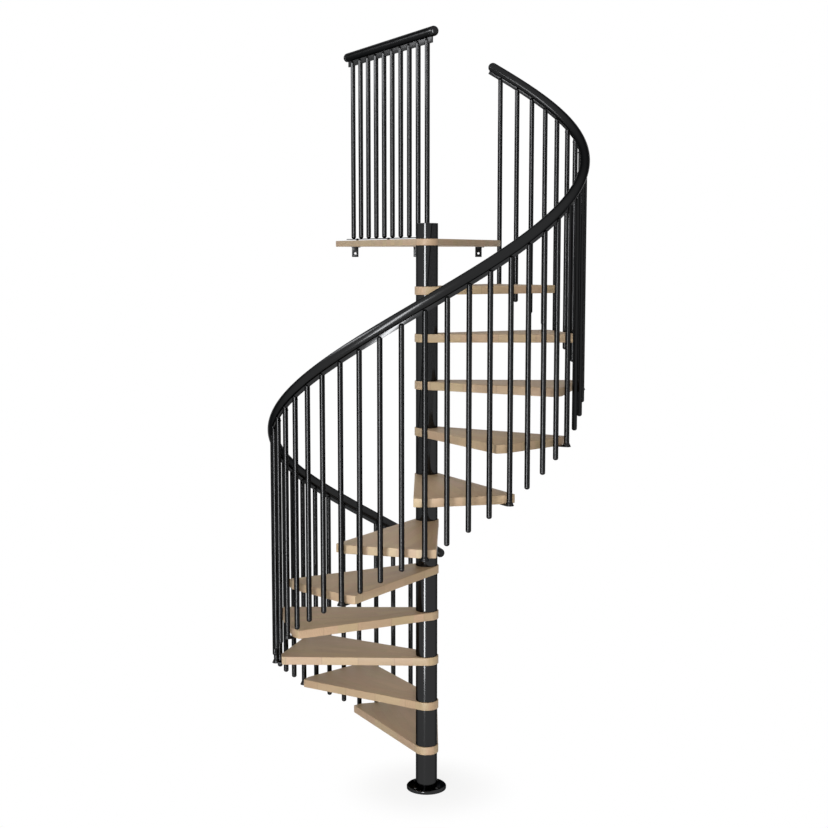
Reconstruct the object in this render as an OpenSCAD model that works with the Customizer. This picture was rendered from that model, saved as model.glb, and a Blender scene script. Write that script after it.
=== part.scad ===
// Spiral staircase kit: eleven wooden wedge treads and a landing threaded on a steel column,
// with hanging round balusters under a helical handrail and a straight landing railing.
// Millimetres, +Z up, origin in the middle of the underside of the base flange. The front is -Y,
// the landing lies towards +Y, and the stair climbs anticlockwise seen from above.

/* [Stair] */
// Height from one tread top to the next
rise = 230; // [205:1:235]
// Turn of the stair at each tread, degrees
step_angle = 30; // [28:0.5:30]
// Number of treads below the landing
tread_count = 11; // [8:1:11]

/* [Column] */
// Outer diameter of the spacer tubes
spacer_d = 108; // [100:1:112]
// Wall of the spacer tubes
spacer_wall = 3; // [2:0.5:5]
// Outer diameter of the inner pole
pole_d = 60; // [48:1:70]
// Wall of the inner pole
pole_wall = 4; // [3:0.5:6]
// Height of the capped column top above the landing
cap_h = 75; // [40:1:120]

/* [Base flange] */
// Diameter of the flange on the floor
flange_d = 200; // [190:1:240]
// Thickness of the flange
flange_t = 18; // [12:1:25]
// Diameter of the circle through the floor bolts
bolt_circle_d = 160; // [150:1:165]
// Diameter of each floor bolt hole
bolt_hole_d = 12; // [8:0.5:14]
// Number of floor bolts
bolt_count = 4; // [3:1:6]

/* [Treads] */
// Thickness of a tread
tread_t = 40; // [30:1:45]
// Diameter of the round end that the column passes through
hub_d = 120; // [116:1:130]
// Distance from the column axis to the straight outer edge
tread_reach = 705; // [600:1:720]
// Half the length of the straight outer edge
tread_half_edge = 187; // [150:1:190]
// Distance from the column axis to a tip, measured along the middle of the tread
tip_reach = 683; // [580:1:690]
// Distance of a tip from the middle of the tread
tip_half_width = 236; // [200:1:240]

/* [Landing] */
// Thickness of the landing board
landing_t = 32; // [25:1:40]
// Distance from the column axis to the edge against the wall
landing_depth = 935; // [850:1:1000]
// How far the landing reaches to the left of the column axis
landing_left = 514; // [480:1:560]
// How far the landing reaches to the right of the column axis
landing_right = 381; // [378:1:400]
// Distance from the column axis back to the corner at the end of the entry edge
landing_entry_y = 620; // [600:1:630]
// Length of the small cut on the entry corner
landing_cut = 52; // [20:1:60]
// Play around the last baluster, which stands in a notch of the landing
landing_notch_gap = 2; // [1:0.5:5]

/* [Balusters] */
// Diameter of the round balusters
baluster_d = 25; // [20:1:30]
// Radius of the circle on which the balusters stand
baluster_ring_r = 755; // [750:1:770]
// Length of the lowest baluster of the flight
baluster_l = 1094.5; // [950:0.5:1150]
// Balusters for each tread
balusters_per_tread = 4; // [3:1:5]
// Angle between the balusters of one tread, degrees
baluster_angle = 7.4; // [7:0.1:7.5]
// Rounding of the lower end of a baluster
foot_round = 10; // [3:0.5:11]
// Height of the conical socket that holds the foot of a fixed baluster
socket_h = 12; // [8:1:20]
// Diameter of the socket where it meets its bracket
socket_d = 38; // [32:1:40]
// Height of the floor of the socket
socket_floor = 5; // [2:0.5:7]

/* [Handrail] */
// How much more than the treads the handrail climbs at each step
rail_gain = 1.5; // [0:0.1:3]
// Diameter of the handrail tube
rail_d = 49; // [40:1:50]
// Distance from the tube axis to the flat along its underside
rail_flat = 23; // [16:0.5:24]
// Height of the flat band under the handrail of the flight
band_h = 16.5; // [12:0.5:30]
// Thickness of that band
band_t = 8; // [4:0.5:10]
// Handrail beyond the last baluster, degrees
rail_top_overrun = 5; // [2:0.5:8]
// Handrail before the first baluster, degrees
rail_bottom_overrun = 6.6; // [2:0.1:8]
// How much of the handrail has no band under it at its upper end, degrees
band_setback = 1.2; // [0.5:0.1:3]
// The same at its lower end
band_foot_setback = 3; // [0.5:0.1:4]

/* [Landing railing] */
// Number of balusters in the landing railing
landing_baluster_count = 10; // [6:1:10]
// Distance between them
landing_pitch = 98.5; // [80:0.5:100]
// Direction of the railing, degrees to the left of straight back
landing_rail_angle = 27.5; // [24:0.5:29]
// Distance from the column axis back to the first baluster
landing_rail_start = 70; // [68:1:80]
// Length of a landing baluster
landing_baluster_l = 953; // [850:1:1000]
// Length of handrail beyond the end balusters, to the middle of its ball ends
landing_overhang = 65; // [30:1:70]
// Length of the band under it beyond the end balusters
landing_band_overhang = 54; // [20:1:65]
// Height of that band
landing_band_h = 29; // [12:1:35]
// Width of the base bar
base_bar_w = 30; // [25:1:40]
// Thickness of the base bar
base_bar_t = 4; // [3:0.5:6]
// Length of the base bar beyond the first and beyond the last baluster
base_bar_overhang = [16, 65]; // [10:1:70]
// Gap between the landing and the base bar
base_bar_gap = 6; // [3:0.5:12]

/* [Brackets] */
// Thickness of all bracket plates
bracket_t = 4; // [3:0.5:6]
// Width of a baluster bracket
bracket_w = 40; // [30:1:50]
// Length of a baluster bracket inwards from its baluster
bracket_l = 90; // [60:1:120]
// Width of a wall bracket
wall_bracket_w = 36; // [30:1:50]
// Height of the wall leg
wall_bracket_h = 56; // [50:1:80]
// Length of the leg under the landing
wall_bracket_l = 50; // [40:1:80]
// How far the leg under the landing stands out past the right side of the wall leg
wall_bracket_ear = 12; // [0:1:20]
// Drop of the wall hole below the landing
wall_hole_drop = 36; // [25:1:40]
// Diameter of the wall hole
wall_hole_d = 12; // [8:0.5:13]
// Distance between the wall brackets
wall_bracket_pitch = 340; // [300:1:380]

/* [Hidden] */
$fn = 64;
SMOOTH = 96;                                     // circle steps of the large round parts
fit_gap = 0.5;                                   // play around a bar or the pole in its bore
slot_gap = 0.25;                                 // play on each side of a band in its slots
hub_overlap = 1;                                 // how far the sides of a board end inside its hub
flange_bevel = 5;                                // bevel on the rim of the flange
metal = "#2b2d2e";
wood = "#c2a98a";
rail_black = "#222325";

landing_top = rise * (tread_count + 1);
landing_under = landing_top - landing_t;
last_baluster = tread_count * balusters_per_tread;
socket_rim = 1.2;                                // thickness of the socket at its upper edge
baluster_z0 = socket_floor - tread_t;            // lower end of a baluster at the foot of the stair
rail_slope = atan((rise + rail_gain) / (baluster_ring_r * step_angle * PI / 180));
top_gap = 0.3;                                   // play between a baluster and the handrail on it
dome_gap = baluster_d / 2 / cos(rail_slope) - baluster_d / 2 + top_gap;
rail_axis_lift = dome_gap + rail_flat / cos(rail_slope);
landing_rail_dir = [-sin(landing_rail_angle), cos(landing_rail_angle)];
landing_bar_z = landing_top + base_bar_gap;
landing_baluster_z = landing_bar_z + base_bar_t;
landing_rail_under = landing_baluster_z + landing_baluster_l + top_gap;
landing_rail_span = (landing_baluster_count - 1) * landing_pitch;
wall_bracket_mid = (landing_right - landing_left) / 2;

function two(k) = str(k < 10 ? "0" : "", k);
function tread_name(k) = str("tread_", two(k));
function spacer_name(k) = str("spacer_", two(k));
function balusters_name(k) = str("balusters_", two(k));

TREADS = [for (k = [1:tread_count]) tread_name(k)];
SPACERS = [for (k = [1:tread_count + 1]) spacer_name(k)];
BALUSTERS = [for (k = [1:tread_count]) balusters_name(k)];

// ---- places on the stair ----

// Angle from the front, anticlockwise, of the middle of tread k
function tread_mid_angle(k) = -180 + (k - 0.5) * step_angle;
// Angle of baluster i: the last one of each tread is set at the next step
function baluster_phi(i) = -180 + floor(i / balusters_per_tread) * step_angle
    + i % balusters_per_tread * baluster_angle;
// How far the stair has climbed at angle phi
function climb(phi) = (phi + 180) / step_angle * rise;
// How far the handrail has climbed at angle phi
function rail_climb(phi) = (phi + 180) / step_angle * (rise + rail_gain);
function baluster_foot(i) = max(baluster_z0 + climb(baluster_phi(i)), bracket_t + socket_floor);
function baluster_top(i) = baluster_z0 + baluster_l + rail_climb(baluster_phi(i));
function rail_axis_z(phi) = baluster_z0 + baluster_l + rail_climb(phi) + rail_axis_lift;

// ---- swept bars ----

// A point of a bar that follows the handrail: u outwards and v upwards across the bar
function helix_point(phi, u, v) = [
    (baluster_ring_r + u) * sin(phi) - v * sin(rail_slope) * cos(phi),
    -(baluster_ring_r + u) * cos(phi) - v * sin(rail_slope) * sin(phi),
    rail_axis_z(phi) + v * cos(rail_slope)
];

// Rings of [phi, scale] along the handrail, with both ends rounded off
function rail_rings(from, to, step, round_r) = let (
    cap = asin(round_r * cos(rail_slope) / baluster_ring_r),
    tips = [for (t = [75:-25:0]) t],
    stretches = ceil((to - from) / step)
) concat(
    [for (t = tips) [from + cap * (1 - sin(t)), cos(t)]],
    [for (i = [1:stretches - 1]) [from + cap + (to - from - 2 * cap) * i / stretches, 1]],
    [for (i = [len(tips) - 1:-1:0]) [to - cap * (1 - sin(tips[i])), cos(tips[i])]]
);

// A closed solid through rings of an outline, for a bar that follows the handrail
module helical_bar(rings, outline) {
    n = len(outline);
    points = [for (ring = rings) for (p = outline) helix_point(ring[0], p[0] * ring[1], p[1] * ring[1])];
    sides = [for (r = [0:len(rings) - 2]) for (s = [0:n - 1]) let (
        a = r * n + s, b = r * n + (s + 1) % n, c = b + n, d = a + n
    ) each [[a, b, c], [a, c, d]]];
    ends = [[for (s = [n - 1:-1:0]) s], [for (s = [0:n - 1]) (len(rings) - 1) * n + s]];
    polyhedron(points, concat(sides, ends), convexity = 10);
}

// Round tube outline with a flat underside
function rail_outline(sides) = let (edge = acos(rail_flat / (rail_d / 2))) [
    for (i = [0:sides]) let (a = -90 + edge + i * (360 - 2 * edge) / sides)
        [rail_d / 2 * cos(a), rail_d / 2 * sin(a)]
];

// ---- column ----

module base_flange() {
    color(metal) difference() {
        union() {
            cylinder(h = flange_t - flange_bevel, d = flange_d, $fn = SMOOTH);
            translate([0, 0, flange_t - flange_bevel])
                cylinder(h = flange_bevel, d1 = flange_d, d2 = flange_d - 2 * flange_bevel, $fn = SMOOTH);
            cylinder(h = flange_t + 45, d = spacer_d - 2 * spacer_wall - 2, $fn = SMOOTH);
        }
        translate([0, 0, flange_t]) cylinder(h = 100, d = pole_d + 2 * fit_gap);
        for (i = [0:bolt_count - 1]) rotate(45 + i * 360 / bolt_count) translate([bolt_circle_d / 2, 0, 0]) {
            translate([0, 0, -1]) cylinder(h = flange_t + 2, d = bolt_hole_d);
            translate([0, 0, flange_t - bolt_hole_d / 2])
                cylinder(h = bolt_hole_d / 2, d1 = bolt_hole_d, d2 = 2 * bolt_hole_d);
        }
    }
}

module centre_pole() {
    color(metal) translate([0, 0, flange_t]) difference() {
        cylinder(h = landing_top + cap_h - flange_t - 12, d = pole_d);
        translate([0, 0, -1]) cylinder(h = landing_top + cap_h, d = pole_d - 2 * pole_wall);
    }
}

// Spacer k carries tread k, and the last one carries the landing
module spacer(k) {
    low = k == 1 ? flange_t : (k - 1) * rise;
    high = k > tread_count ? landing_under : k * rise - tread_t;
    color(metal) translate([0, 0, low]) difference() {
        cylinder(h = high - low, d = spacer_d, $fn = SMOOTH);
        translate([0, 0, -1]) cylinder(h = high - low + 2, d = spacer_d - 2 * spacer_wall, $fn = SMOOTH);
    }
}

module pole_cap() {
    color(metal) translate([0, 0, landing_top]) difference() {
        cylinder(h = cap_h, d = spacer_d, $fn = SMOOTH);
        translate([0, 0, -1]) cylinder(h = cap_h - 4, d = spacer_d - 2 * spacer_wall, $fn = SMOOTH);
    }
}

// ---- wooden boards ----

// The point just inside the hub circle where the side of a board from p ends, touching a circle
// that is a little smaller. turn is 1 or -1 for the two sides
function hub_point(p, turn) = let (
    r = hub_d / 2 - hub_overlap,
    away = atan2(p[1], p[0]) + turn * acos(r / norm(p))
) r * [cos(away), sin(away)];

// A board with a round hub at the column and straight edges to its outer corners
module board(corners, thickness) {
    first = corners[0];
    last = corners[len(corners) - 1];
    difference() {
        linear_extrude(thickness) union() {
            circle(d = hub_d, $fn = SMOOTH);
            polygon(concat([[0, 0], hub_point(first, -1)], corners, [hub_point(last, 1)]));
        }
        translate([0, 0, -1]) cylinder(h = thickness + 2, d = pole_d + 2 * fit_gap);
    }
}

module tread(k) {
    corners = [
        [tip_reach, -tip_half_width], [tread_reach, -tread_half_edge],
        [tread_reach, tread_half_edge], [tip_reach, tip_half_width]
    ];
    color(wood) translate([0, 0, k * rise - tread_t])
        rotate(tread_mid_angle(k) - 90) board(corners, tread_t);
}

module landing() {
    corners = [
        [landing_right - landing_cut * 0.3, landing_entry_y - landing_cut],
        [landing_right, landing_entry_y],
        [landing_right, landing_depth],
        [-landing_left, landing_depth]
    ];
    color(wood) translate([0, 0, landing_under]) difference() {
        board(corners, landing_t);
        rotate(baluster_phi(last_baluster)) translate([0, -baluster_ring_r, -1])
            cylinder(h = landing_t + 2, d = baluster_d + 2 * landing_notch_gap);
    }
}

// ---- balusters ----

// A round bar with a domed upper end and a rounded foot, standing on z = 0.
// A slot in its upper end, open along X, takes the band of the handrail
module baluster(length, slot_depth) {
    r = baluster_d / 2;
    slot_w = band_t + 2 * slot_gap;
    difference() {
        rotate_extrude($fn = 32) intersection() {
            union() {
                translate([0, foot_round]) square([r, length - foot_round - r]);
                square([r - foot_round, length - r]);
                translate([r - foot_round, foot_round]) circle(foot_round, $fn = 32);
                translate([0, length - r]) circle(r, $fn = 48);
            }
            square([r, length]);
        }
        translate([-baluster_d, -slot_w / 2, length - slot_depth])
            cube([2 * baluster_d, slot_w, 2 * slot_depth]);
    }
}

module flight_baluster(i) {
    // The band climbs, so its lowest point in the slot is at one side of the baluster
    band_reach = (rail_flat + band_h) / cos(rail_slope) - rail_axis_lift + baluster_d / 2 * tan(rail_slope);
    rotate(baluster_phi(i)) translate([0, -baluster_ring_r, baluster_foot(i)])
        baluster(baluster_top(i) - baluster_foot(i), band_reach + 1);
}

module balusters(k) {
    first = k == 1 ? 0 : (k - 1) * balusters_per_tread + 1;
    color(metal) for (i = [first:k * balusters_per_tread]) flight_baluster(i);
}

// A flat plate under the corner of the tread, with the socket that holds the foot of a baluster
module baluster_bracket(i, top) {
    bore_d = baluster_d + 2 * fit_gap;
    rotate(baluster_phi(i)) translate([0, -baluster_ring_r, top]) difference() {
        union() {
            translate([0, 0, -bracket_t]) cylinder(h = bracket_t, d = bracket_w);
            translate([-bracket_w / 2, 0, -bracket_t]) cube([bracket_w, bracket_l, bracket_t]);
            cylinder(h = socket_h, d1 = socket_d, d2 = bore_d + 2 * socket_rim);
        }
        translate([0, 0, socket_floor]) cylinder(h = socket_h, d = bore_d);
    }
}

module tread_brackets() {
    color(metal) {
        baluster_bracket(0, bracket_t);
        for (k = [1:tread_count]) baluster_bracket(k * balusters_per_tread, k * rise - tread_t);
    }
}

// ---- handrail of the flight ----

ring_step = 3.75;                                // degrees from ring to ring of the swept bars
rail_from = -180 - rail_bottom_overrun;
rail_to = baluster_phi(last_baluster) + rail_top_overrun;

module handrail() {
    color(rail_black) helical_bar(rail_rings(rail_from, rail_to, ring_step, rail_d / 2), rail_outline(18));
}

// The band stands on edge in the slots of the balusters and carries the tube
module flight_band() {
    outline = [
        [-band_t / 2, -rail_flat - band_h], [band_t / 2, -rail_flat - band_h],
        [band_t / 2, -rail_flat], [-band_t / 2, -rail_flat]
    ];
    from = rail_from + band_foot_setback;
    span = rail_to - band_setback - from;
    stretches = ceil(span / ring_step);
    helical_bar([for (i = [0:stretches]) [from + i * span / stretches, 1]], outline);
}

// ---- landing railing ----

// Moves into the frame of the landing railing: X along it from its first baluster, Y to its left
module on_landing_rail() {
    translate([0, landing_rail_start, 0]) rotate(90 + landing_rail_angle) children();
}

module landing_balusters() {
    color(metal) on_landing_rail() for (i = [0:landing_baluster_count - 1])
        translate([i * landing_pitch, 0, landing_baluster_z]) baluster(landing_baluster_l, landing_band_h + 1);
}

// A flat bar on short feet, with its near end cut round to fit the column
module landing_base_bar() {
    feet = [0.5, (landing_baluster_count - 1) / 2, landing_baluster_count - 1.5];
    foot_d = 14;
    color(metal) difference() {
        on_landing_rail() {
            translate([-base_bar_overhang[0], -base_bar_w / 2, landing_bar_z])
                cube([landing_rail_span + base_bar_overhang[0] + base_bar_overhang[1], base_bar_w, base_bar_t]);
            for (f = feet) translate([f * landing_pitch, 0, landing_top])
                cylinder(h = base_bar_gap, d = foot_d);
        }
        translate([0, 0, landing_top]) cylinder(h = cap_h, d = spacer_d + 2);
    }
}

module landing_handrail() {
    color(rail_black) on_landing_rail() translate([0, 0, landing_rail_under + rail_flat]) difference() {
        union() {
            translate([-landing_overhang, 0, 0]) rotate([0, 90, 0])
                cylinder(h = landing_rail_span + 2 * landing_overhang, d = rail_d);
            for (x = [-landing_overhang, landing_rail_span + landing_overhang])
                translate([x, 0, 0]) sphere(d = rail_d);
        }
        translate([-landing_overhang - rail_d, -rail_d, -rail_d - rail_flat])
            cube([landing_rail_span + 2 * landing_overhang + 2 * rail_d, 2 * rail_d, rail_d]);
    }
}

module landing_band() {
    on_landing_rail() translate([-landing_band_overhang, -band_t / 2, landing_rail_under - landing_band_h])
        cube([landing_rail_span + 2 * landing_band_overhang, band_t, landing_band_h]);
}

module rail_bands() {
    color(metal) {
        flight_band();
        landing_band();
    }
}

// ---- fixing to the wall ----

module wall_bracket(x) {
    translate([x - wall_bracket_w / 2, landing_depth, landing_under]) difference() {
        union() {
            translate([0, -wall_bracket_l, -bracket_t])
                cube([wall_bracket_w + wall_bracket_ear, wall_bracket_l, bracket_t]);
            translate([0, -bracket_t, -wall_bracket_h]) cube([wall_bracket_w, bracket_t, wall_bracket_h]);
        }
        translate([wall_bracket_w / 2, 1, -wall_hole_drop]) rotate([90, 0, 0])
            cylinder(h = bracket_t + 2, d = wall_hole_d);
    }
}

module wall_brackets() {
    color(metal) for (i = [-1:1]) wall_bracket(wall_bracket_mid + i * wall_bracket_pitch);
}

base_flange();
centre_pole();
pole_cap();
for (k = [1:tread_count + 1]) spacer(k);
for (k = [1:tread_count]) tread(k);
landing();
tread_brackets();
for (k = [1:tread_count]) balusters(k);
handrail();
rail_bands();
landing_balusters();
landing_base_bar();
landing_handrail();
wall_brackets();
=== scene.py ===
import math
import bmesh
import bpy
from mathutils import Matrix, Vector


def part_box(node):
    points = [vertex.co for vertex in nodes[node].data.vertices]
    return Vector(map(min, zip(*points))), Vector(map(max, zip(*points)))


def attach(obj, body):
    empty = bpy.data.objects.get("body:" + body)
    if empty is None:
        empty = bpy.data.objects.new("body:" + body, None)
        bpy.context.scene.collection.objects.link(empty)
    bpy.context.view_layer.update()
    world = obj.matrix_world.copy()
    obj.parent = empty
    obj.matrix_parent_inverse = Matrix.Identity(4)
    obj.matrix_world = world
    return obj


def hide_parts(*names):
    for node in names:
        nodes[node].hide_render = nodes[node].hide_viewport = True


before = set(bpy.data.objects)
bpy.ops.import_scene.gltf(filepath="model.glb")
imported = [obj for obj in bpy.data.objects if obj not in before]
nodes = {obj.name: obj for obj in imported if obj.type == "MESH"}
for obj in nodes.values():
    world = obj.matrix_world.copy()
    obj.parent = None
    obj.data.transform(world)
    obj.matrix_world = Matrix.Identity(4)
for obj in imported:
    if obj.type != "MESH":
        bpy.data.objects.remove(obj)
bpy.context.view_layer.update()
print("stair: frame loaded,", len(nodes), "nodes")


class Wire:                                      # a shader socket that sums can be written with
    def __init__(self, graph, socket):
        self.graph, self.socket = graph, socket

    def __add__(self, other):
        return self.graph.maths("ADD", self, other)

    def __radd__(self, other):
        return self.graph.maths("ADD", other, self)

    def __sub__(self, other):
        return self.graph.maths("SUBTRACT", self, other)

    def __rsub__(self, other):
        return self.graph.maths("SUBTRACT", other, self)

    def __mul__(self, other):
        return self.graph.maths("MULTIPLY", self, other)

    def __rmul__(self, other):
        return self.graph.maths("MULTIPLY", other, self)

    def __truediv__(self, other):
        return self.graph.maths("DIVIDE", self, other)

    def __rtruediv__(self, other):
        return self.graph.maths("DIVIDE", other, self)


class Graph:                                     # the nodes of one material, or of the world
    def __init__(self, owner):
        owner.use_nodes = True
        self.tree = owner.node_tree
        self.tree.nodes.clear()

    def node(self, kind, settings=None, inputs=None, out=0):
        made = self.tree.nodes.new(kind)
        for key, value in (settings or {}).items():
            if key == "stops":
                ramp = made.color_ramp
                ramp.elements[0].position, ramp.elements[1].position = value[0][0], value[-1][0]
                for place, colour in value[1:-1]:
                    ramp.elements.new(place)
                for element, (place, colour) in zip(ramp.elements, value):
                    element.color = (*colour, 1)
            else:
                setattr(made, key, value)
        for key, value in (inputs or {}).items():
            socket = made.inputs[key]
            if isinstance(value, Wire):
                self.tree.links.new(value.socket, socket)
            elif socket.type == "RGBA" and len(value) == 3:
                socket.default_value = (*value, 1)
            else:
                socket.default_value = value
        return Wire(self, made.outputs[out]) if made.outputs else made

    def maths(self, operation, *values):
        isVector = any(hasattr(v, "__len__") or isinstance(v, Wire) and v.socket.type != "VALUE"
                       for v in values)
        if isVector:
            values = [v if isinstance(v, Wire) or hasattr(v, "__len__") else (v, v, v) for v in values]
        kind = "ShaderNodeVectorMath" if isVector else "ShaderNodeMath"
        return self.node(kind, {"operation": operation}, dict(enumerate(values)))

    def split(self, vector):
        parts = self.node("ShaderNodeSeparateXYZ", None, {0: vector}).socket.node.outputs
        return [Wire(self, part) for part in parts]

    def join(self, x, y, z):
        return self.node("ShaderNodeCombineXYZ", None, {0: x, 1: y, 2: z})

    def length(self, vector):
        return self.node("ShaderNodeVectorMath", {"operation": "LENGTH"}, {0: vector}, 1)

    def mix(self, factor, first, second):
        return self.node("ShaderNodeMix", {"data_type": "RGBA"}, {0: factor, 6: first, 7: second}, 2)

    def noise(self, where, scale, detail=2.0, rough=0.5):
        return self.node("ShaderNodeTexNoise", None,
                         {"Vector": where, "Scale": scale, "Detail": detail, "Roughness": rough})

    def chance(self, x, y, z, out=0):            # a random number for each set of whole numbers
        return self.node("ShaderNodeTexWhiteNoise", {"noise_dimensions": "3D"}, {0: self.join(x, y, z)}, out)

    def ease(self, value, low, high):            # 0 below low, 1 above high, smooth between
        return self.node("ShaderNodeMapRange", {"interpolation_type": "SMOOTHSTEP"},
                         {0: value, 1: low, 2: high})

    def bump(self, height, depth):
        return self.node("ShaderNodeBump", None, {"Strength": 1.0, "Distance": depth, "Height": height})

    def surface(self, inputs):
        shader = self.node("ShaderNodeBsdfPrincipled", None, inputs)
        self.node("ShaderNodeOutputMaterial", None, {0: shader})


beech = {
    "staveWidth": 0.045, "staveLength": 0.52, "ringWidth": 0.0034,
    "tones": [(0, (0.500, 0.352, 0.216)), (0.3, (0.555, 0.384, 0.248)), (0.55, (0.535, 0.400, 0.243)),
              (0.8, (0.548, 0.412, 0.238)), (1, (0.575, 0.390, 0.268))],
    "pore": (0.21, 0.125, 0.075), "glue": (0.30, 0.195, 0.12), "roughness": 0.52,
    "fleckShare": 0.38, "poreShare": 0.45, "glueShare": 0.5, "glueFade": 0.0006, "glueFull": 0.0001,
    "grainDepth": 0.00007,
}


def beechBoard():                                # staves of beech glued side by side, under matt lacquer
    material = bpy.data.materials.new("beechBoard")
    g = Graph(material)
    here = g.node("ShaderNodeTexCoord", out=3)
    board = g.node("ShaderNodeAttribute", {"attribute_name": "boardSeed"}, out=2)
    along, across, up = g.split(here)
    lane = across / beech["staveWidth"] + board * 0.618
    row = g.maths("FLOOR", lane)
    inRow = lane - row - 0.5                     # -0.5 to 0.5 across a stave
    run = along / beech["staveLength"] + g.chance(row, board, 0.37) * 7
    cut = g.maths("FLOOR", run)
    inRun = run - cut - 0.5
    one, two, three = g.split(g.chance(row, cut, board, 1))
    side, rise = inRow * beech["staveWidth"], up

    turn = one * math.pi                         # each stave is sawn from its own place in the trunk
    sine, cosine = g.maths("SINE", turn), g.maths("COSINE", turn)
    ringY = side * cosine - rise * sine + 0.028 + two * 0.11
    ringZ = side * sine + rise * cosine
    sway = g.noise(g.join(along * 1.3 + one * 9, side * 7, rise * 7 + two * 5), 1.0, 3) - 0.5
    radius = g.maths("SQRT", ringY * ringY + ringZ * ringZ) + sway * 0.011 + along * (three - 0.5) * 0.018
    rings = g.maths("FRACT", radius / beech["ringWidth"])
    late = g.ease(rings, 0.35, 0.98) * (1 - g.ease(rings, 0.985, 1.0))
    fibre = g.noise(g.join(along * 11 + two * 40, side * 780, rise * 780), 1.0, 3, 0.6)
    flame = g.noise(g.join(along * 3.2 + one * 20, side * 55, rise * 55), 1.0, 2)
    pores = g.ease(g.noise(g.join(along * 150 + three * 60, side * 1150, rise * 1150), 1.0, 1), 0.62, 0.72)
    flecks = g.ease(g.noise(g.join(along * 95 + one * 80, side * 620, rise * 620), 1.0, 1), 0.64, 0.74)

    laneEdge = g.maths("ABSOLUTE", inRow) * beech["staveWidth"]
    runEdge = g.maths("ABSOLUTE", inRun) * beech["staveLength"]
    halfWidth, halfLength = beech["staveWidth"] / 2, beech["staveLength"] / 2
    fade, full = beech["glueFade"], beech["glueFull"]
    glue = g.maths("MAXIMUM", g.ease(laneEdge, halfWidth - fade, halfWidth - full),
                   g.ease(runEdge, halfLength - fade, halfLength - full))

    tone = g.node("ShaderNodeValToRGB", {"stops": beech["tones"]}, {0: one * 0.75 + two * 0.25})
    shade = 0.93 + three * 0.12 + (flame - 0.5) * 0.10 + (fibre - 0.5) * 0.12 - late * 0.085
    colour = tone * g.join(shade, shade, shade)
    colour = g.mix(flecks * beech["fleckShare"], colour, beech["pore"])
    colour = g.mix(pores * beech["poreShare"], colour, beech["pore"])
    colour = g.mix(glue * beech["glueShare"], colour, beech["glue"])
    height = fibre * 0.35 - pores * 0.5 - glue * 0.7 - late * 0.12
    g.surface({
        "Base Color": colour,
        "Roughness": beech["roughness"] + (fibre - 0.5) * 0.12 + pores * 0.12 + (flame - 0.5) * 0.06,
        "Specular IOR Level": 0.3, "Normal": g.bump(height, beech["grainDepth"]),
    })
    return material


# each coat's edge sets a dark edge tint, which paints shade near the outline
coats = {
    "columnCoat": {"dark": (0.0290, 0.0294, 0.0302), "pale": (0.0340, 0.0344, 0.0352), "roughness": 0.12,
                   "edge": 0.36, "peel": 620, "depth": 0.0000003},
    "rodCoat": {"dark": (0.0170, 0.0173, 0.0178), "pale": (0.0190, 0.0193, 0.0199), "roughness": 0.20,
                "edge": 0.0, "peel": 700, "depth": 0.0000002},
    "bandCoat": {"dark": (0.0310, 0.0315, 0.0325), "pale": (0.0370, 0.0375, 0.0385), "roughness": 0.23,
                 "edge": 0.50, "peel": 700, "depth": 0.000001},
    "bracketCoat": {"dark": (0.0200, 0.0203, 0.0210), "pale": (0.0260, 0.0263, 0.0270), "roughness": 0.28,
                    "edge": 0.35, "peel": 700, "depth": 0.000004},
    "railPlastic": {"dark": (0.0215, 0.0218, 0.0224), "pale": (0.0265, 0.0268, 0.0275), "roughness": 0.26,
                    "edge": 0.38, "peel": 1500, "depth": 0.000001},
    "footPlastic": {"dark": (0.0200, 0.0203, 0.0210), "pale": (0.0260, 0.0263, 0.0270), "roughness": 0.33,
                    "edge": 0.20, "peel": 1300, "depth": 0.000004},
}


def satinBlack(name):                            # powder coat or moulded plastic, with a fine orange peel; shaded as metal with painted shade along the outline
    look = coats[name]
    material = bpy.data.materials.new(name)
    g = Graph(material)
    here = g.node("ShaderNodeTexCoord", out=3)
    cloud = g.noise(here, 6, 3)
    speck = g.noise(here, 95, 3, 0.6)
    peel = g.noise(here, look["peel"], 2)
    grime = g.ease(speck, 0.60, 0.80)
    colour = g.mix(cloud * 0.6 + speck * 0.4, look["dark"], look["pale"])
    rim = look["edge"]                           # painted shade: a dark edge tint sets how much of the shine is left near the outline, in place of dark surroundings
    g.surface({
        "Base Color": colour,
        "Roughness": look["roughness"] * (1 + (cloud - 0.5) * 0.14 + (peel - 0.5) * 0.06 + grime * 0.06),
        "Metallic": 1.0, "Specular Tint": (rim, rim, rim), "Normal": g.bump(peel, look["depth"]),
    })
    return material


zinc = {"dark": (0.36, 0.37, 0.38), "pale": (0.60, 0.61, 0.62), "spangle": 70}


def galvanised():                                # hot-dip zinc with its crystals, on the hidden pole
    material = bpy.data.materials.new("galvanised")
    g = Graph(material)
    here = g.node("ShaderNodeTexCoord", out=3)
    crystal = g.split(g.node("ShaderNodeTexVoronoi", None, {"Vector": here, "Scale": zinc["spangle"]}, 1))[0]
    bloom = g.noise(here, 18, 4)
    g.surface({
        "Base Color": g.mix(crystal * 0.7 + bloom * 0.3, zinc["dark"], zinc["pale"]),
        "Roughness": 0.38 + crystal * 0.14 + bloom * 0.1,
        "Metallic": 1.0, "Normal": g.bump(bloom, 0.00005),
    })
    return material


screwLook = {"dark": (0.022, 0.022, 0.024), "pale": (0.06, 0.06, 0.064)}


def blackZinc():                                 # blackened screws and bolts
    material = bpy.data.materials.new("blackZinc")
    g = Graph(material)
    here = g.node("ShaderNodeTexCoord", out=3)
    blot = g.noise(here, 320, 3)
    g.surface({
        "Base Color": g.mix(blot, screwLook["dark"], screwLook["pale"]),
        "Roughness": 0.34 + blot * 0.18, "Metallic": 0.85, "Normal": g.bump(blot, 0.00004),
    })
    return material


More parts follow.
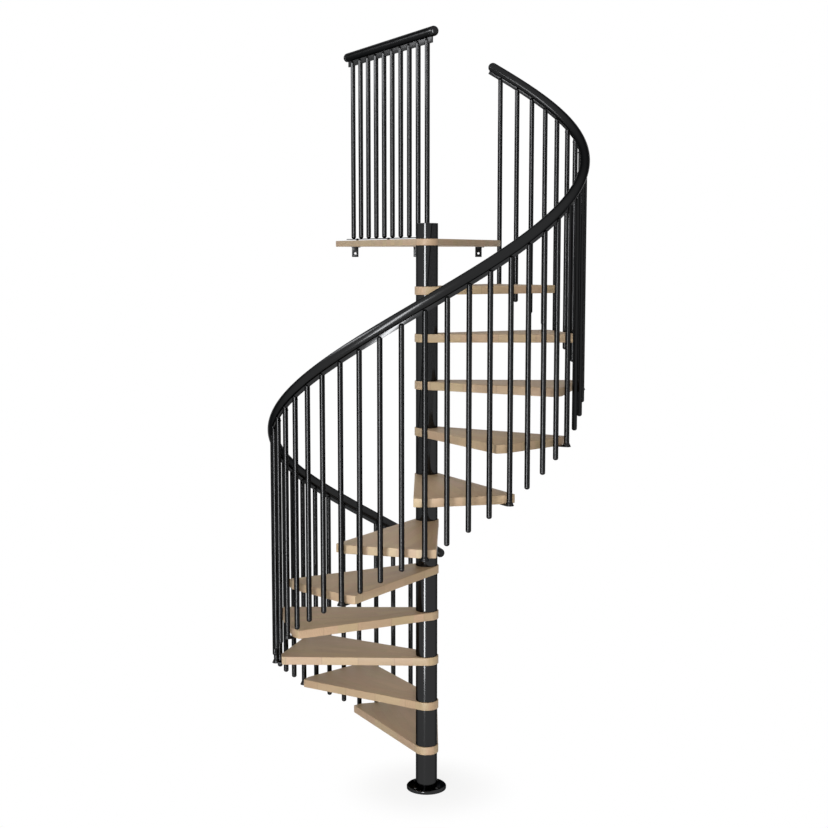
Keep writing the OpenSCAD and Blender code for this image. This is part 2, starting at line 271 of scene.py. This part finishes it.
boardWood = beechBoard()
columnCoat, rodCoat, bandCoat, bracketCoat = [satinBlack(n) for n in
                                              ("columnCoat", "rodCoat", "bandCoat", "bracketCoat")]
railPlastic, footPlastic = satinBlack("railPlastic"), satinBlack("footPlastic")
poleZinc, screwBlack = galvanised(), blackZinc()
print("stair: finishes made")


def skin(mesh, rows, isLoop=False):              # joins rows of points; a row of one point is a tip
    rings = [[mesh.verts.new(p) for p in row] for row in rows]
    for a, b in zip(rings, rings[1:] + (rings[:1] if isLoop else [])):
        count = max(len(a), len(b))
        for i in range(count if count > 1 else 0):
            j = (i + 1) % count
            corners = [a[i % len(a)], a[j % len(a)], b[j % len(b)], b[i % len(b)]]
            mesh.faces.new(list(dict.fromkeys(corners)))
    for ring in ([] if isLoop else (rings[0], rings[-1])):
        if len(ring) > 2:
            mesh.faces.new(ring)


def lathe(mesh, profile, segments, place=Matrix(), isLoop=False):
    rows = []
    for r, z in profile:
        turns = [i * 2 * math.pi / segments for i in range(segments if r > 1e-7 else 1)]
        rows.append([place @ Vector((r * math.cos(t), r * math.sin(t), z)) for t in turns])
    skin(mesh, rows, isLoop)


def arc(centre, radius, start, stop, steps):     # points of (radius, height) along an arc, degrees
    turns = [math.radians(start + (stop - start) * i / steps) for i in range(steps + 1)]
    return [(centre[0] + radius * math.cos(t), centre[1] + radius * math.sin(t)) for t in turns]


sharpLimit = 32                                  # degrees; edges past this stay hard


def addPiece(name, mesh, material, stands=(), place=None, sharp=sharpLimit):
    bmesh.ops.recalc_face_normals(mesh, faces=mesh.faces)
    data = bpy.data.meshes.new(name)
    mesh.to_mesh(data)
    mesh.free()
    data.shade_smooth()
    if sharp:
        data.set_sharp_from_angle(angle=math.radians(sharp))
    data.materials.append(material)
    piece = bpy.data.objects.new(name, data)
    bpy.context.scene.collection.objects.link(piece)
    if place:
        piece.matrix_world = place
    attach(piece, "root")
    if stands:
        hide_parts(*stands)
    return piece


def welded(node):                                # a CAD node's mesh with its corners joined
    mesh = bmesh.new()
    mesh.from_mesh(nodes[node].data)
    bmesh.ops.remove_doubles(mesh, verts=mesh.verts, dist=1e-5)
    return mesh


def solidsOf(node):                              # the box of each separate solid, lowest first
    mesh = welded(node)
    left, boxes = set(mesh.verts), []
    while left:
        group = [left.pop()]
        for vert in group:
            for edge in vert.link_edges:
                other = edge.other_vert(vert)
                if other in left:
                    left.remove(other)
                    group.append(other)
        low = Vector([min(v.co[i] for v in group) for i in range(3)])
        high = Vector([max(v.co[i] for v in group) for i in range(3)])
        boxes.append((low, high))
    mesh.free()
    return sorted(boxes, key=lambda b: (round(b[0].z, 4), round(b[0].x, 4), round(b[0].y, 4)))


def easedCopy(name, node, width, steps, material, place=None):
    mesh = welded(node)                          # the CAD shape with its hard edges slightly rounded
    bmesh.ops.dissolve_limit(mesh, angle_limit=math.radians(1), verts=mesh.verts, edges=mesh.edges)
    if place:
        mesh.transform(place.inverted())
    piece = addPiece(name, mesh, material, [node], place, sharp=0)
    ease = piece.modifiers.new("ease", "BEVEL")
    ease.width, ease.segments, ease.limit_method = width, steps, "ANGLE"
    ease.angle_limit, ease.use_clamp_overlap = math.radians(28), False
    ease.harden_normals = True
    return piece


def slotted(piece, boxes):                       # cuts the slot of the band out of each rod's top
    mesh = bmesh.new()
    for place, size in boxes:
        bmesh.ops.create_cube(mesh, size=1, matrix=place @ Matrix.Diagonal((*size, 1)))
    data = bpy.data.meshes.new("slots")
    mesh.to_mesh(data)
    mesh.free()
    cutter = bpy.data.objects.new("slots", data)
    bpy.context.scene.collection.objects.link(cutter)
    cut = piece.modifiers.new("slots", "BOOLEAN")
    cut.operation, cut.solver, cut.object = "DIFFERENCE", "EXACT", cutter
    bpy.context.view_layer.update()
    shaped = bpy.data.meshes.new_from_object(piece.evaluated_get(bpy.context.evaluated_depsgraph_get()))
    piece.modifiers.clear()
    piece.data = shaped
    shaped.shade_smooth()
    shaped.set_sharp_from_angle(angle=math.radians(sharpLimit))
    bpy.data.objects.remove(cutter)


def screwHead(mesh, at, axis, radius, height):   # a round head with a socket for the driver
    place = Matrix.Translation(at) @ axis.to_track_quat("Z", "Y").to_matrix().to_4x4()
    deep, sunk = height * 0.45, 0.0005           # the driver's socket, and how far it sits in the surface
    profile = [(0, deep), (radius * 0.42, deep), (radius * 0.46, height), (radius * 0.62, height)]
    profile += [(radius * 0.86, height * 0.88), (radius * 0.97, height * 0.62), (radius, height * 0.3),
                (radius, -sunk), (0, -sunk)]
    lathe(mesh, profile, 20, place)


column = {"segments": 112, "endRound": 0.0012, "wall": 0.003, "capSeam": 0.009, "capRound": 0.0022,
          "capPlate": 0.004, "capFoot": 0.001, "seamDepth": 0.0005, "capFlat": 0.012}


def spacerTube(node):
    low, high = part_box(node)
    outer, e = high.x, column["endRound"]
    inner = outer - column["wall"]
    profile = [(inner, low.z), (outer - e, low.z), (outer - e * 0.3, low.z + e * 0.3), (outer, low.z + e)]
    profile += [(outer, low.z + 2 * e), (outer, high.z - 2 * e)]     # keeps the shading of the wall straight
    profile += [(outer, high.z - e), (outer - e * 0.3, high.z - e * 0.3), (outer - e, high.z)]
    profile += [(inner, high.z)]
    mesh = bmesh.new()
    lathe(mesh, profile, column["segments"], isLoop=True)
    addPiece("tube_" + node, mesh, columnCoat, [node])


def cappedTop():
    low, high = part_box("pole_cap")
    outer, e, seam = high.x, column["capRound"], high.z - column["capSeam"]
    inner, under = outer - column["wall"], high.z - column["capPlate"]
    foot, groove = column["capFoot"], outer - column["seamDepth"]
    profile = [(0, under), (inner, under), (inner, low.z), (outer - foot, low.z), (outer, low.z + foot)]
    profile += [(outer, low.z + 0.003), (outer, seam - 0.003)]       # the same here
    profile += [(outer, seam - 0.0006), (groove, seam - 0.0003), (groove, seam + 0.0003),
                (outer, seam + 0.0006)]
    profile += arc((outer - e, high.z - e), e, 0, 90, 6)
    profile += [(outer - column["capFlat"], high.z), (0, high.z)]
    mesh = bmesh.new()
    lathe(mesh, profile, column["segments"])
    addPiece("columnCap", mesh, columnCoat, ["pole_cap"])


for k in range(1, 13):
    spacerTube(f"spacer_{k:02d}")
cappedTop()
easedCopy("floorFlange", "base_flange", 0.0012, 3, columnCoat)
nodes["centre_pole"].data.materials.clear()
nodes["centre_pole"].data.materials.append(poleZinc)
print("stair: column made")


boards = {"ease": 0.0022, "easeSteps": 3}


def boardPiece(name, node, angle, seed):
    low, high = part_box(node)
    place = Matrix.Translation((0, 0, (low.z + high.z) / 2)) @ Matrix.Rotation(angle, 4, "Z")
    piece = easedCopy(name, node, boards["ease"], boards["easeSteps"], boardWood, place)
    mark = piece.data.attributes.new("boardSeed", "FLOAT", "POINT")
    mark.data.foreach_set("value", [float(seed)] * len(piece.data.vertices))


def outwards(node):                              # direction from the column to the middle of a board's edge
    far = [v.co for v in nodes[node].data.vertices if v.co.xy.length > 0.6]
    return math.atan2(sum(p.y for p in far), sum(p.x for p in far))


for k in range(1, 12):
    boardPiece(f"treadBoard_{k:02d}", f"tread_{k:02d}", outwards(f"tread_{k:02d}"), k)
boardPiece("landingBoard", "landing", 0.0, 12)
print("stair: boards made")


rod = {"radius": 0.0125, "segments": 32, "footRound": 0.010, "footCap": 0.016, "seam": 0.0004, "even": 0.004,
       "slot": 0.0085, "slotReach": 0.05, "slotSpare": 0.001,
       "screw": 0.0034, "screwHeight": 0.0022, "screwDrop": 0.021, "landingScrewDrop": 0.0185}


def rodProfile(radius, length):
    f, cap, s = rod["footRound"], rod["footCap"], rod["seam"]
    profile = [(0, 0)] + arc((radius - f, f), f, -90, 0, 7)
    profile += [(radius, cap), (radius - s, cap + s), (radius - s, cap + 2 * s), (radius, cap + 3 * s)]
    profile += [(radius, cap + 3 * s + rod["even"]), (radius, length - radius - rod["even"])]
    return profile + arc((0, length - radius), radius, 0, 90, 9)[:-1] + [(0, length)]


def rodGroup(name, node, slotDepth, slotTurn=None):
    mesh, boxes, tops, radius = bmesh.new(), [], [], rod["radius"]
    solids = solidsOf(node)
    for low, high in solids:
        x, y = (low.x + high.x) / 2, (low.y + high.y) / 2
        turn = math.atan2(x, -y) if slotTurn is None else slotTurn
        place = Matrix.Translation((x, y, low.z)) @ Matrix.Rotation(turn, 4, "Z")
        lathe(mesh, rodProfile(radius, high.z - low.z), rod["segments"], place)
        boxes.append((Matrix.Translation((x, y, high.z)) @ Matrix.Rotation(turn, 4, "Z"),
                      (rod["slotReach"], rod["slot"], 2 * (slotDepth + rod["slotSpare"]))))
        tops.append((Vector((x, y, high.z)), turn))
    piece = addPiece(name, mesh, rodCoat, [node])
    slotted(piece, boxes)
    piece.data.materials.clear()
    piece.data.materials.append(rodCoat)
    piece.data.materials.append(footPlastic)
    for face in piece.data.polygons:
        at = face.center
        isFoot = any((at.xy - (low.xy + Vector((radius, radius)))).length < 0.02
                     and at.z - low.z < rod["footCap"] + rod["seam"] for low, high in solids)
        face.material_index = int(isFoot)
    return tops


firstLow, firstHigh = solidsOf("balusters_01")[0]
lastLow, lastHigh = solidsOf("balusters_11")[-1]
firstAt, lastAt = (firstLow + firstHigh) / 2, (lastLow + lastHigh) / 2
ringRadius = firstAt.xy.length
firstTurn = -math.pi
flightTurn = math.atan2(lastAt.x, -lastAt.y) - firstTurn    # from the first baluster round to the last
climbRate = (lastHigh.z - firstHigh.z) / flightTurn     # metres for each radian
slope = math.atan(climbRate / ringRadius)

rail = {"radius": 0.0245, "flat": 0.023, "bandHeight": 0.0165, "bandThickness": 0.008, "topGap": 0.0003,
        "bottomOverrun": 6.6, "topOverrun": 5, "bandFootSetback": 3, "bandSetback": 1.2,
        "landingOver": 0.065, "landingBandOver": 0.054, "landingBandHeight": 0.029, "sides": 44, "step": 1.25,
        "bandEdge": 0.0009, "bandTip": (0.86, 0.93), "flightLip": 0.001, "landingLip": 0.0008,
        "landingRings": 24, "landingBandRings": 12}
domeGap = rod["radius"] / math.cos(slope) - rod["radius"] + rail["topGap"]
railLift = domeGap + rail["flat"] / math.cos(slope)
bandReach = (rail["flat"] + rail["bandHeight"]) / math.cos(slope) - railLift + rod["radius"] * math.tan(slope)

flightTops = []
for k in range(1, 12):
    flightTops += rodGroup(f"flightRods_{k:02d}", f"balusters_{k:02d}", bandReach)

landingRods = sorted(solidsOf("landing_balusters"), key=lambda b: b[0].y)
railStart = (landingRods[0][0] + landingRods[0][1]).xy / 2
railEnd = (landingRods[-1][0] + landingRods[-1][1]).xy / 2
railTurn = math.atan2(railEnd.y - railStart.y, railEnd.x - railStart.x)
landingTops = rodGroup("landingRods", "landing_balusters", rail["landingBandHeight"], railTurn)


def bandScrew(mesh, top, side, drop):            # one small screw holds each rod to the band
    at = top + side * rod["radius"] - Vector((0, 0, drop))
    screwHead(mesh, at, side, rod["screw"], rod["screwHeight"])


mesh = bmesh.new()
for top, turn in flightTops:
    bandScrew(mesh, top, Vector((-math.sin(turn), math.cos(turn), 0)), rod["screwDrop"])
for top, turn in landingTops:
    bandScrew(mesh, top, Vector((math.sin(turn), -math.cos(turn), 0)), rod["landingScrewDrop"])
addPiece("rodScrews", mesh, screwBlack)
print("stair: balusters made,", len(flightTops) + len(landingTops))


def helixPoint(turn, u, v):                      # u outwards and v upwards across a bar that climbs
    z = firstHigh.z + (turn - firstTurn) * climbRate + railLift
    return Vector(((ringRadius + u) * math.sin(turn) - v * math.sin(slope) * math.cos(turn),
                   -(ringRadius + u) * math.cos(turn) - v * math.sin(slope) * math.sin(turn),
                   z + v * math.cos(slope)))


def railOutline():                               # round, with a narrow flat below
    edge = math.degrees(math.acos(rail["flat"] / rail["radius"]))
    return arc((0, 0), rail["radius"], -90 + edge, 270 - edge, rail["sides"])


def bandOutline(height):
    t, low, high, c = rail["bandThickness"] / 2, -rail["flat"] - height, -rail["flat"], rail["bandEdge"]
    return [(-t, high), (-t, low + c), (-t + c * 0.3, low + c * 0.3), (-t + c, low),
            (t - c, low), (t - c * 0.3, low + c * 0.3), (t, low + c), (t, high)]


def bandRow(height, isEnd):                      # the outline of a band, drawn in a little at its ends
    middle = -rail["flat"] - height / 2
    wide, tall = rail["bandTip"] if isEnd else (1, 1)
    return [(u * wide, middle + (v - middle) * tall) for u, v in bandOutline(height)]


def tubeRow(scale):                              # the outline of a handrail, or its tip
    return [(u * scale, v * scale) for u, v in (railOutline() if scale > 1e-6 else [(0, 0)])]


def endRings(total, radius):                     # [distance, scale] with a dome and a cap seam at each end
    tips = [(radius * (1 - math.sin(math.radians(t))), math.cos(math.radians(t))) for t in range(90, -1, -10)]
    seam = [(radius + 0.0120, 1), (radius + 0.0124, 0.975), (radius + 0.0136, 0.975), (radius + 0.0140, 1)]
    near = tips + seam
    return near, [(total - d, s) for d, s in reversed(near)]


def flightRail():
    perRadian = ringRadius / math.cos(slope)     # length of the rail for each radian
    start = firstTurn - math.radians(rail["bottomOverrun"])
    stop = firstTurn + flightTurn + math.radians(rail["topOverrun"])
    total = (stop - start) * perRadian
    near, far = endRings(total, rail["radius"])
    count = math.ceil(math.degrees(stop - start) / rail["step"])
    between = [(total * i / count, 1) for i in range(1, count)]
    rings = near + [r for r in between if near[-1][0] + 0.004 < r[0] < far[0][0] - 0.004] + far
    mesh = bmesh.new()
    skin(mesh, [[helixPoint(start + d / perRadian, u, v) for u, v in tubeRow(s)] for d, s in rings])
    addPiece("flightHandrail", mesh, railPlastic, ["handrail"], sharp=40)
    start, stop = start + math.radians(rail["bandFootSetback"]), stop - math.radians(rail["bandSetback"])
    lip = rail["flightLip"]                      # radians
    inner = [start + lip + (stop - start - 2 * lip) * i / count for i in range(count + 1)]
    mesh = bmesh.new()
    skin(mesh, [[helixPoint(t, u, v) for u, v in bandRow(rail["bandHeight"], t in (start, stop))]
                for t in [start] + inner + [stop]])
    return mesh


def landingRail(mesh):
    top = landingRods[0][1].z + rail["topGap"] + rail["flat"]
    along = Vector((math.cos(railTurn), math.sin(railTurn), 0))
    left = Vector((-along.y, along.x, 0))
    span = (railEnd - railStart).length
    start = Vector((*railStart, top))
    over, bandOver, bandHeight = rail["landingOver"], rail["landingBandOver"], rail["landingBandHeight"]
    total = span + 2 * over + 2 * rail["radius"]
    near, far = endRings(total, rail["radius"])
    count = rail["landingRings"]
    rings = near + [(total * i / count, 1) for i in range(2, count - 1)] + far
    origin = start - along * (over + rail["radius"])
    tube = bmesh.new()
    skin(tube, [[origin + along * d + left * u + Vector((0, 0, v)) for u, v in tubeRow(s)] for d, s in rings])
    addPiece("landingHandrail", tube, railPlastic, ["landing_handrail"], sharp=40)
    lip, count = rail["landingLip"], rail["landingBandRings"]
    stops = [-bandOver, -bandOver + lip] + [span * i / count for i in range(count + 1)]
    stops += [span + bandOver - lip, span + bandOver]
    skin(mesh, [[start + along * d + left * u + Vector((0, 0, v))
                 for u, v in bandRow(bandHeight, d in (stops[0], stops[-1]))] for d in stops])


bandMesh = flightRail()
landingRail(bandMesh)
addPiece("railBands", bandMesh, bandCoat, ["rail_bands"])
print("stair: handrails made")


fixings = {"plateEase": 0.0008, "plateSteps": 2, "plate": 0.004,
           "boltRadius": 0.0065, "boltHeight": 0.0035, "inward": (0.052, 0.078),
           "wallShifts": (0.014, 0.034), "wallInset": 0.018,
           "barScrew": 0.0055, "barScrewHeight": 0.0022, "barSteps": (0.5, 4.5, 8.5)}

for name, node in (("rodBrackets", "tread_brackets"), ("landingBaseBar", "landing_base_bar"),
                   ("wallAngles", "wall_brackets")):
    easedCopy(name, node, fixings["plateEase"], fixings["plateSteps"], bracketCoat)

mesh = bmesh.new()
upwards, downwards = Vector((0, 0, 1)), Vector((0, 0, -1))
for k, (low, high) in enumerate(solidsOf("tread_brackets")):
    isLowest = k == 0                            # its bolts go in from above
    if isLowest:
        turn = firstTurn
    else:
        mark = solidsOf(f"balusters_{k:02d}")[-1]
        at = (mark[0] + mark[1]) / 2
        turn = math.atan2(at.x, -at.y)
    outward = Vector((math.sin(turn), -math.cos(turn), 0))
    level = low.z + fixings["plate"] if isLowest else low.z
    facing = upwards if isLowest else downwards
    for inward in fixings["inward"]:
        at = outward * (ringRadius - inward) + Vector((0, 0, level))
        screwHead(mesh, at, facing, fixings["boltRadius"], fixings["boltHeight"])
for low, high in solidsOf("wall_brackets"):
    for shift in fixings["wallShifts"]:
        at = Vector((low.x + fixings["wallInset"], low.y + shift, high.z - fixings["plate"]))
        screwHead(mesh, at, downwards, fixings["boltRadius"], fixings["boltHeight"])
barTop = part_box("landing_base_bar")[1].z
for step in fixings["barSteps"]:
    at = railStart + (railEnd - railStart) * step / (len(landingRods) - 1)
    screwHead(mesh, Vector((*at, barTop)), upwards, fixings["barScrew"], fixings["barScrewHeight"])
addPiece("bracketScrews", mesh, screwBlack)
print("stair: brackets made")


studio = {
    "skyForSurfaces": 0.28, "floorPlain": 0.86, "floorFade": (0.12, 0.5),
    "lamps": [  # name, place, target, width, height, strength, what it isn't seen by
        ("shineStrip", (-2.2, -6.0, 1.9), (0, 0, 1.9), 1.2, 6.4, 34, "visible_diffuse"),
        ("rimLeft", (-2.9, 0.3, 4.1), (0, 0.5, 3.8), 3.4, 0.6, 19, "visible_diffuse"),
        ("keyLeft", (-2.6, -6.2, 2.4), (0, 0, 1.8), 2.2, 5.0, 7.1, "visible_glossy"),
        ("fillFront", (1.4, -7.5, 3.0), (0, 0, 1.8), 5, 5, 2.5, "visible_glossy"),
        ("softTop", (0, -0.4, 7.5), (0, 0, 0), 5, 5, 0.75, "visible_glossy")],
    "lens": 60.70, "cameraAt": (0.0761, -6.8211, 2.6746), "lookDown": 6.436, "lookLeft": 1.167,
}


def seenDirectly(g):                             # 1 for what the camera, a gloss or glass looks at
    path = g.node("ShaderNodeLightPath").socket.node.outputs
    rays = [Wire(g, path[kind]) for kind in ("Is Camera Ray", "Is Glossy Ray", "Is Transmission Ray")]
    return g.maths("MAXIMUM", g.maths("MAXIMUM", rays[0], rays[1]), rays[2])


world = bpy.data.worlds.new("studioWhite")
bpy.context.scene.world = world
g = Graph(world)
direct = seenDirectly(g)
sky = g.node("ShaderNodeBackground", None,
             {0: (1, 1, 1), 1: direct + (1 - direct) * studio["skyForSurfaces"]})
g.node("ShaderNodeOutputWorld", None, {0: sky})


def softLight(name, at, target, width, height, radiance, hidden):
    data = bpy.data.lights.new(name, "AREA")
    data.shape, data.size, data.size_y = "RECTANGLE", width, height
    data.energy = radiance * width * height * math.pi
    lamp = bpy.data.objects.new(name, data)
    towards = (Vector(target) - Vector(at)).to_track_quat("-Z", "Y")
    lamp.matrix_world = Matrix.Translation(at) @ towards.to_matrix().to_4x4()
    setattr(lamp, hidden, False)
    bpy.context.scene.collection.objects.link(lamp)


for lamp in studio["lamps"]:
    softLight(*lamp)

floorMesh = bmesh.new()
lathe(floorMesh, [(0, 0), (1, 0), (3, 0), (9, 0), (40, 0)], 96)
for face in [f for f in floorMesh.faces if len(f.verts) > 4]:    # the lathe closes the rim with one face
    floorMesh.faces.remove(face)
floorData = bpy.data.meshes.new("studioFloor")
floorMesh.to_mesh(floorData)
floorMesh.free()
studioFloor = bpy.data.objects.new("studioFloor", floorData)
bpy.context.scene.collection.objects.link(studioFloor)
studioFloor.visible_shadow = False
studioFloor.visible_glossy = False               # gloss sees the white world below the floor too
floorPaint = bpy.data.materials.new("floorPaint")
floorData.materials.append(floorPaint)
g = Graph(floorPaint)
place = g.node("ShaderNodeTexCoord", out=3)
away = g.length(place)
grain = g.noise(place, 3, 2)
matt = g.node("ShaderNodeBsdfDiffuse", None, {0: g.mix(grain, (0.80, 0.80, 0.80), (0.84, 0.84, 0.84))})
glow = g.node("ShaderNodeEmission", None, {0: (1, 1, 1), 1: 1.0})
plain = studio["floorPlain"]                     # the share of plain white near the column
lit = seenDirectly(g) * (plain + (1 - plain) * g.ease(away, *studio["floorFade"]))
g.node("ShaderNodeOutputMaterial", None, {0: g.node("ShaderNodeMixShader", None, {0: lit, 1: matt, 2: glow})})

cameraData = bpy.data.cameras.new("studioCamera")
cameraData.lens, cameraData.sensor_width = studio["lens"], 36
studioCamera = bpy.data.objects.new("studioCamera", cameraData)
studioCamera.location = studio["cameraAt"]
studioCamera.rotation_euler = (math.radians(90 - studio["lookDown"]), 0, math.radians(studio["lookLeft"]))
bpy.context.scene.collection.objects.link(studioCamera)
bpy.context.scene.camera = studioCamera
bpy.context.scene.view_settings.view_transform = "Standard"
print("stair: studio made")
